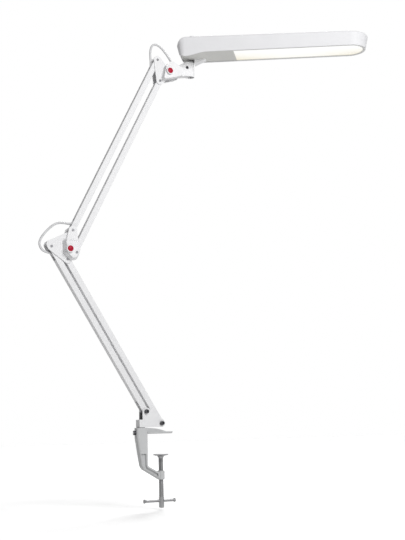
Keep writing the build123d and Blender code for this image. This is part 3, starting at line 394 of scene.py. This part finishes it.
def route(points):
    """Points along the smooth curve that has the route's points as its controls."""
    curve = bpy.data.curves.new("route", "CURVE")
    curve.dimensions = "3D"
    curve.resolution_u = ROUTE_STEPS
    spline = curve.splines.new("NURBS")
    spline.points.add(len(points) - 1)
    for control, point in zip(spline.points, points):
        control.co = (*arm_point(*point), 1)
    spline.order_u = ROUTE_ORDER
    spline.use_endpoint_u = True
    obj = bpy.data.objects.new("route", curve)
    scene.collection.objects.link(obj)
    mesh = bpy.data.meshes.new_from_object(obj)
    line = [v.co.copy() for v in mesh.vertices]
    bpy.data.objects.remove(obj)
    bpy.data.curves.remove(curve)
    bpy.data.meshes.remove(mesh)
    return line


def tube(name, line):
    """Cord along a line that lies in the arms' plane, closed at both ends."""
    across = Vector((0, 1, 0))
    angles = [radians(360 / CORD_SIDES * j) for j in range(CORD_SIDES)]
    rings = []
    for i, point in enumerate(line):
        run = (line[min(i + 1, len(line) - 1)] - line[max(i - 1, 0)]).normalized()
        side = run.cross(across)
        rings.append([point + (side * cos(a) + across * sin(a)) * CORD_D / 2 for a in angles])
    obj = mesh_object(name, *swept(rings), LOOKS["cord"])
    for polygon in obj.data.polygons:
        polygon.use_smooth = len(polygon.vertices) == 4
    return obj


def nearest(line, x, z):
    """Number of the line's point that lies nearest to a place in the arms' plane."""
    place = Vector(arm_point(x, z))
    return min(range(len(line)), key=lambda i: (line[i] - place).length)


def bending_cord(node, points, cuts):
    """The cord in one piece per joint, cut at the given places along its route."""
    line = route(points)
    ends = [0] + [nearest(line, *cut) for cut in cuts] + [len(line) - 1]
    for i, (a, b) in enumerate(zip(ends, ends[1:])):
        run = line[a:b + 1]
        piece = tube(f"{node}_{i + 1}", run)
        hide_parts(node)
        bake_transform(piece)


bending_cord(
    "elbow_cord", ELBOW_CORD,
    cuts=[(-250.5, 374.0), (-212.0, 416.0)])
bending_cord(
    "head_cord", HEAD_CORD,
    cuts=[(-8.0, 775.0)])


# Studio, in metres
MIDDLE = Vector((-0.02, 0.0, 0.4))  # place on the lamp that both lights face
AMBIENT = 0.19


def area_light(name, place, size, watts):
    """Round light that faces the lamp."""
    light = bpy.data.lights.new(name, "AREA")
    light.shape = "DISK"
    light.size = size
    light.energy = watts
    obj = bpy.data.objects.new(name, light)
    obj.location = place
    obj.rotation_euler = (MIDDLE - Vector(place)).to_track_quat("-Z", "Y").to_euler()
    scene.collection.objects.link(obj)


def studio_world():
    """White to look at, and an even light of its own strength on surfaces."""
    world = bpy.data.worlds.new("studio")
    scene.world = world
    n = Nodes(world)
    mix = n.add("ShaderNodeMixShader")
    n.link(n.direct_rays(), mix.inputs["Fac"])
    for socket, strength in ((1, AMBIENT), (2, 1.0)):
        background = n.add("ShaderNodeBackground")
        background.inputs["Color"].default_value = (1, 1, 1, 1)
        background.inputs["Strength"].default_value = strength
        n.link(background.outputs["Background"], mix.inputs[socket])
    n.link(mix.outputs["Shader"], n.add("ShaderNodeOutputWorld").inputs["Surface"])


area_light("key", (0.15, -1.9, 1.15), size=1.0, watts=29)
area_light("back", (1.1, 1.8, 2.1), size=1.2, watts=40)
studio_world()


# Floor, in metres
FLOOR_GAP = 0.004               # room under the lowest piece
FLOOR_HALF = 8.0
FLOOR_DRIFT = 3
FLOOR_SHADES = ((0.86, 0.86, 0.86), (0.88, 0.88, 0.88))
FLOOR_GRAIN = 30
FLOOR_ROUGH = (0.7, 0.8)
FLOOR_GLOW = (0.28, 0.73)       # near the lamp, where its shadow falls, and far from the lights
FLOOR_GLOW_REACH = (0.45, 1.2)  # where the glow starts to rise and where it is full


def floor(z):
    """Pale floor that shows white, apart from the object's shadow."""
    n = Material("pale_floor")
    color = n.ramp(n.noise(FLOOR_DRIFT), *FLOOR_SHADES)
    shader = n.surface(color, n.span(n.noise(FLOOR_GRAIN), *FLOOR_ROUGH))
    away = n.add("ShaderNodeVectorMath", operation="LENGTH")
    n.link(n.coords, away.inputs[0])
    level = n.span(away.outputs["Value"], *FLOOR_GLOW, *FLOOR_GLOW_REACH)
    glow = n.add("ShaderNodeEmission")
    n.link(n.math("MULTIPLY", n.direct_rays(), level), glow.inputs["Strength"])
    both = n.add("ShaderNodeAddShader")
    n.link(shader.outputs["BSDF"], both.inputs[0])
    n.link(glow.outputs["Emission"], both.inputs[1])
    n.link(both.outputs["Shader"], n.out.inputs["Surface"])
    n.material.cycles.emission_sampling = "NONE"
    corners = [(x * FLOOR_HALF, y * FLOOR_HALF, z) for x, y in ((-1, -1), (1, -1), (1, 1), (-1, 1))]
    mesh_object("floor", corners, [(0, 1, 2, 3)], n.material)


floor(cad_box[0][2] - FLOOR_GAP)


# Camera: the photograph's view, solved on the arms' pivots, with places in the photograph in pixels
PHOTO_W, PHOTO_H = 405, 540
FOCAL = 1000
ORIGIN_X, ORIGIN_Y = 160.3, 433.5   # where the shared frame's origin shows
HORIZON_DROP = 155                  # from the photograph's middle down to the horizon
CAMERA_TURN = radians(-26.0)
CAMERA_ROLL = radians(-1.4)
CAMERA_AWAY = 2.030                 # from the origin, on the level, in metres
SENSOR = 36                         # along the photograph's height, in millimetres


def camera():
    pitch = atan(HORIZON_DROP / FOCAL)
    up = Vector((0, 0, 1))
    right = Vector((cos(CAMERA_TURN), sin(CAMERA_TURN), 0))
    level = Vector((-sin(CAMERA_TURN), cos(CAMERA_TURN), 0))
    ahead = level * cos(pitch) + up * sin(pitch)
    over = right.cross(ahead)
    x_axis = right * cos(CAMERA_ROLL) + over * sin(CAMERA_ROLL)
    y_axis = over * cos(CAMERA_ROLL) - right * sin(CAMERA_ROLL)
    ray = ahead + x_axis * (ORIGIN_X - PHOTO_W / 2) / FOCAL + y_axis * (PHOTO_H / 2 - ORIGIN_Y) / FOCAL
    place = -ray * (CAMERA_AWAY / ray.dot(level))
    data = bpy.data.cameras.new("camera")
    data.sensor_width = SENSOR
    data.lens = SENSOR * FOCAL / PHOTO_H
    obj = bpy.data.objects.new("camera", data)
    axes = Matrix((x_axis, y_axis, -ahead)).transposed().to_4x4()
    obj.matrix_world = Matrix.Translation(place) @ axes
    scene.collection.objects.link(obj)
    scene.camera = obj


camera()
scene.view_settings.view_transform = "Standard"
